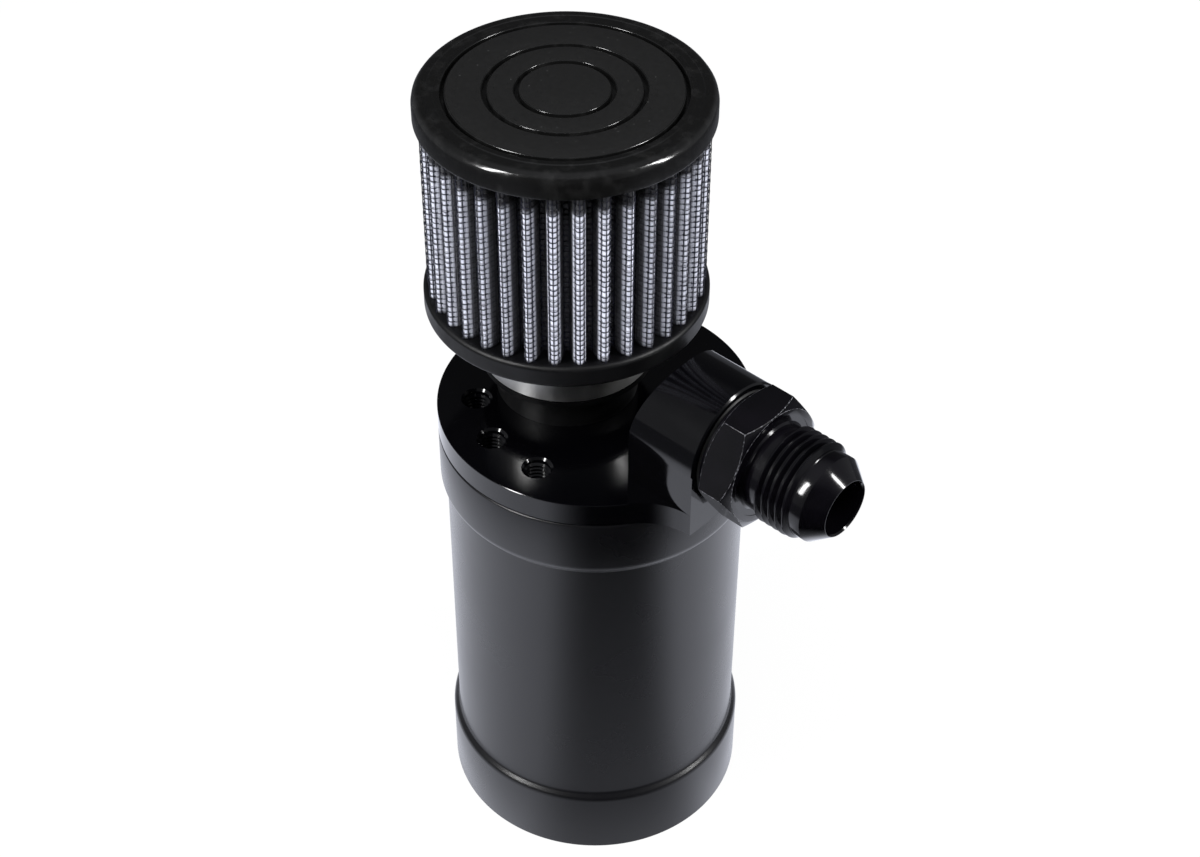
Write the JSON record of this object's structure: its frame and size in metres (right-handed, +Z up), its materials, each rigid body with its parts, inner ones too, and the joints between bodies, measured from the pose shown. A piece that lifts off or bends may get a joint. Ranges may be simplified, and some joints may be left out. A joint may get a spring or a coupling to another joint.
{
  "type": "oil catch can",
  "caption": "Cylindrical screw-lidded oil catch can with a threaded hose inlet on a machined boss and a clamped pleated breather filter.",
  "frame": {"origin": "middle of the can's foot, on the floor", "axes": "+Z up along the can's axis, +X along the inlet fitting, away from the can"},
  "size_m": [0.1097, 0.071, 0.193],
  "materials": {
    "can_anodised": "satin black anodised, turned",
    "lid_anodised": "gloss black anodised, machined",
    "fitting_anodised": "gloss black anodised, machined",
    "seal_rubber": "smooth rubber",
    "filter_rubber": "moulded rubber",
    "filter_gauze": "oiled cotton gauze, grey white",
    "wire_mesh": "bright woven wire",
    "cage_steel": "perforated sheet, plated",
    "cap_moulding": "gloss moulded rubber",
    "cap_plate": "gloss black plate, turned grooves",
    "clamp_steel": "bright stainless strip",
    "clamp_screw_steel": "plated steel",
    "plain_aluminium": "plain machined",
    "screw_steel": "black oxide",
    "wire_wool": "stainless wire wool"
  },
  "bodies": {
    "can": {"can_body": "can_anodised"},
    "seal": {"lid_seal": "seal_rubber"},
    "head": {"lid": "lid_anodised", "lid_boss": "lid_anodised", "lid_neck": "lid_anodised", "lid_spigot": "lid_anodised", "inlet_fitting": "fitting_anodised", "inlet_seal": "seal_rubber", "filter_base": "filter_rubber", "filter_gauze": "filter_gauze", "filter_mesh": "wire_mesh", "filter_inner_mesh": "wire_mesh", "filter_cage": "cage_steel", "filter_cap": "cap_moulding", "filter_plate": "cap_plate", "clamp_band": "clamp_steel", "clamp_housing": "clamp_steel", "baffle_posts": "plain_aluminium", "baffle_plate": "plain_aluminium", "baffle_screws": "screw_steel", "baffle_pad": "wire_wool", "pad_screen": "plain_aluminium"},
    "screw": {"clamp_screw": "clamp_screw_steel"}
  },
  "joints": [
    {"name": "lid_lift", "type": "slide", "parent": "can", "child": "seal", "axis": [0, 0, 1], "range_m": [0, 0.012]},
    {"name": "lid_turn", "type": "hinge", "parent": "seal", "child": "head", "pos_m": [0, 0, 0.11], "axis": [0, 0, 1], "range_deg": [0, 2880]},
    {"name": "clamp_screw_turn", "type": "hinge", "parent": "head", "child": "screw", "pos_m": [-0.0256, 0.0169, 0.13195], "axis": [-0.7071, -0.7071, 0], "range_deg": [0, 1800]}
  ],
  "couplings": [
    {"joint": "lid_lift", "follows": "lid_turn", "m_per_rad": 0.0002387}
  ]
}
